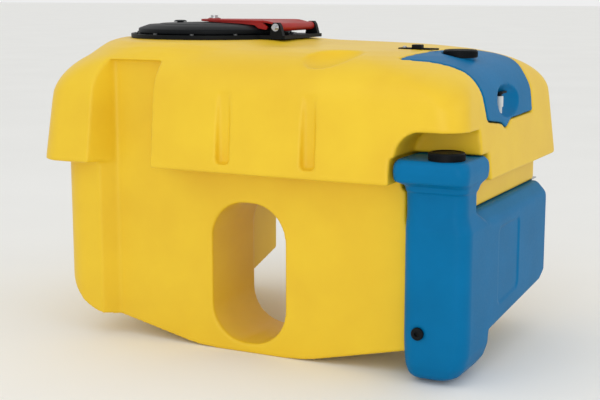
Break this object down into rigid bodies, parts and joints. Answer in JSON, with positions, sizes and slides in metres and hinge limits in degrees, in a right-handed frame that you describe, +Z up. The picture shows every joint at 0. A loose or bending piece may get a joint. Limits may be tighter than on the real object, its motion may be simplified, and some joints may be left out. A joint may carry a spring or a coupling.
{
  "type": "crop sprayer tank set",
  "caption": "Moulded sprayer tank with a hinged fill lid, a side rinse tank, a shoulder hand-wash tank with a tap, and a frame tunnel.",
  "frame": {"origin": "centre of the plan outline, at the level of the flat under the tank", "axes": "+X along the tank to the rinse tank end, -Y to the front with the tunnel mouth, +Z up"},
  "size_m": [1.18, 0.798, 0.839],
  "materials": {
    "yellow_polyethylene": "rotomoulded polyethylene, satin",
    "blue_polyethylene": "rotomoulded polyethylene, satin",
    "black_polypropylene": "injection moulded, satin",
    "red_polypropylene": "injection moulded, semi-gloss",
    "black_rubber": "moulded rubber, matt",
    "stainless_steel": "bright drawn",
    "zinc_plated_steel": "zinc plated",
    "white_polypropylene": "injection moulded, satin"
  },
  "bodies": {
    "tank": {"main_tank": "yellow_polyethylene", "fill_ring_gasket": "black_rubber", "fill_ring": "black_polypropylene", "fill_ring_screws": "stainless_steel", "strainer_basket": "white_polypropylene", "lid_hinge_pin": "stainless_steel", "hinge_clips": "stainless_steel", "rinse_tank": "blue_polyethylene", "rinse_bracket": "zinc_plated_steel", "rinse_bracket_screws": "zinc_plated_steel", "wash_tank": "blue_polyethylene", "wash_tap_body": "white_polypropylene", "wash_tap_seal": "black_rubber", "wash_tank_clamp": "black_polypropylene", "clamp_screw": "stainless_steel", "outlet_fitting": "black_polypropylene", "outlet_gasket": "black_rubber", "outlet_nut": "black_polypropylene"},
    "lid_arm": {"lid_arm": "red_polypropylene"},
    "lid_cover": {"lid_cover": "black_polypropylene", "lid_seal": "black_rubber", "vent_valve": "black_polypropylene", "vent_flap": "black_rubber", "lid_pivot_bolt": "stainless_steel", "lid_pivot_washer": "stainless_steel", "lid_pivot_spacer": "black_polypropylene", "lid_pivot_nut": "stainless_steel"},
    "rinse_cap_seal": {"rinse_cap_seal": "black_rubber"},
    "rinse_cap": {"rinse_cap": "black_polypropylene"},
    "wash_cap_seal": {"wash_cap_seal": "black_rubber"},
    "wash_cap": {"wash_cap": "black_polypropylene"},
    "wash_tap_lever": {"wash_tap_lever": "black_polypropylene"},
    "rinse_drain_seal": {"rinse_drain_seal": "black_rubber"},
    "rinse_drain_plug": {"rinse_drain_plug": "black_polypropylene"}
  },
  "joints": [
    {"name": "lid_hinge", "type": "hinge", "parent": "tank", "child": "lid_arm", "pos_m": [-0.03, 0, 0.812], "axis": [0, 1, 0], "range_deg": [0, 110]},
    {"name": "cover_turn", "type": "hinge", "parent": "lid_arm", "child": "lid_cover", "pos_m": [-0.278, 0, 0.827], "axis": [0, 0, 1], "range_deg": [0, 40]},
    {"name": "rinse_cap_lift", "type": "slide", "parent": "tank", "child": "rinse_cap_seal", "axis": [0, 0, 1], "range_m": [0, 0.016]},
    {"name": "rinse_cap_turn", "type": "hinge", "parent": "rinse_cap_seal", "child": "rinse_cap", "pos_m": [0.528, -0.346, 0.54], "axis": [0, 0, 1], "range_deg": [0, 961]},
    {"name": "wash_cap_lift", "type": "slide", "parent": "tank", "child": "wash_cap_seal", "axis": [0, 0, 1], "range_m": [0, 0.016]},
    {"name": "wash_cap_turn", "type": "hinge", "parent": "wash_cap_seal", "child": "wash_cap", "pos_m": [0.455, -0.06, 0.755], "axis": [0, 0, 1], "range_deg": [0, 961]},
    {"name": "tap_turn", "type": "hinge", "parent": "tank", "child": "wash_tap_lever", "pos_m": [0.552, -0.047, 0.64], "axis": [0, 0, -1], "range_deg": [0, 90]},
    {"name": "drain_plug_out", "type": "slide", "parent": "tank", "child": "rinse_drain_seal", "axis": [0, -1, 0], "range_m": [0, 0.016]},
    {"name": "drain_plug_turn", "type": "hinge", "parent": "rinse_drain_seal", "child": "rinse_drain_plug", "pos_m": [0.472, -0.362, 0.125], "axis": [0, -1, 0], "range_deg": [0, 2881]}
  ],
  "couplings": [
    {"joint": "rinse_cap_turn", "follows": "rinse_cap_lift", "rad_per_m": 1047.2},
    {"joint": "wash_cap_turn", "follows": "wash_cap_lift", "rad_per_m": 1047.2},
    {"joint": "drain_plug_turn", "follows": "drain_plug_out", "rad_per_m": 3141.6}
  ]
}
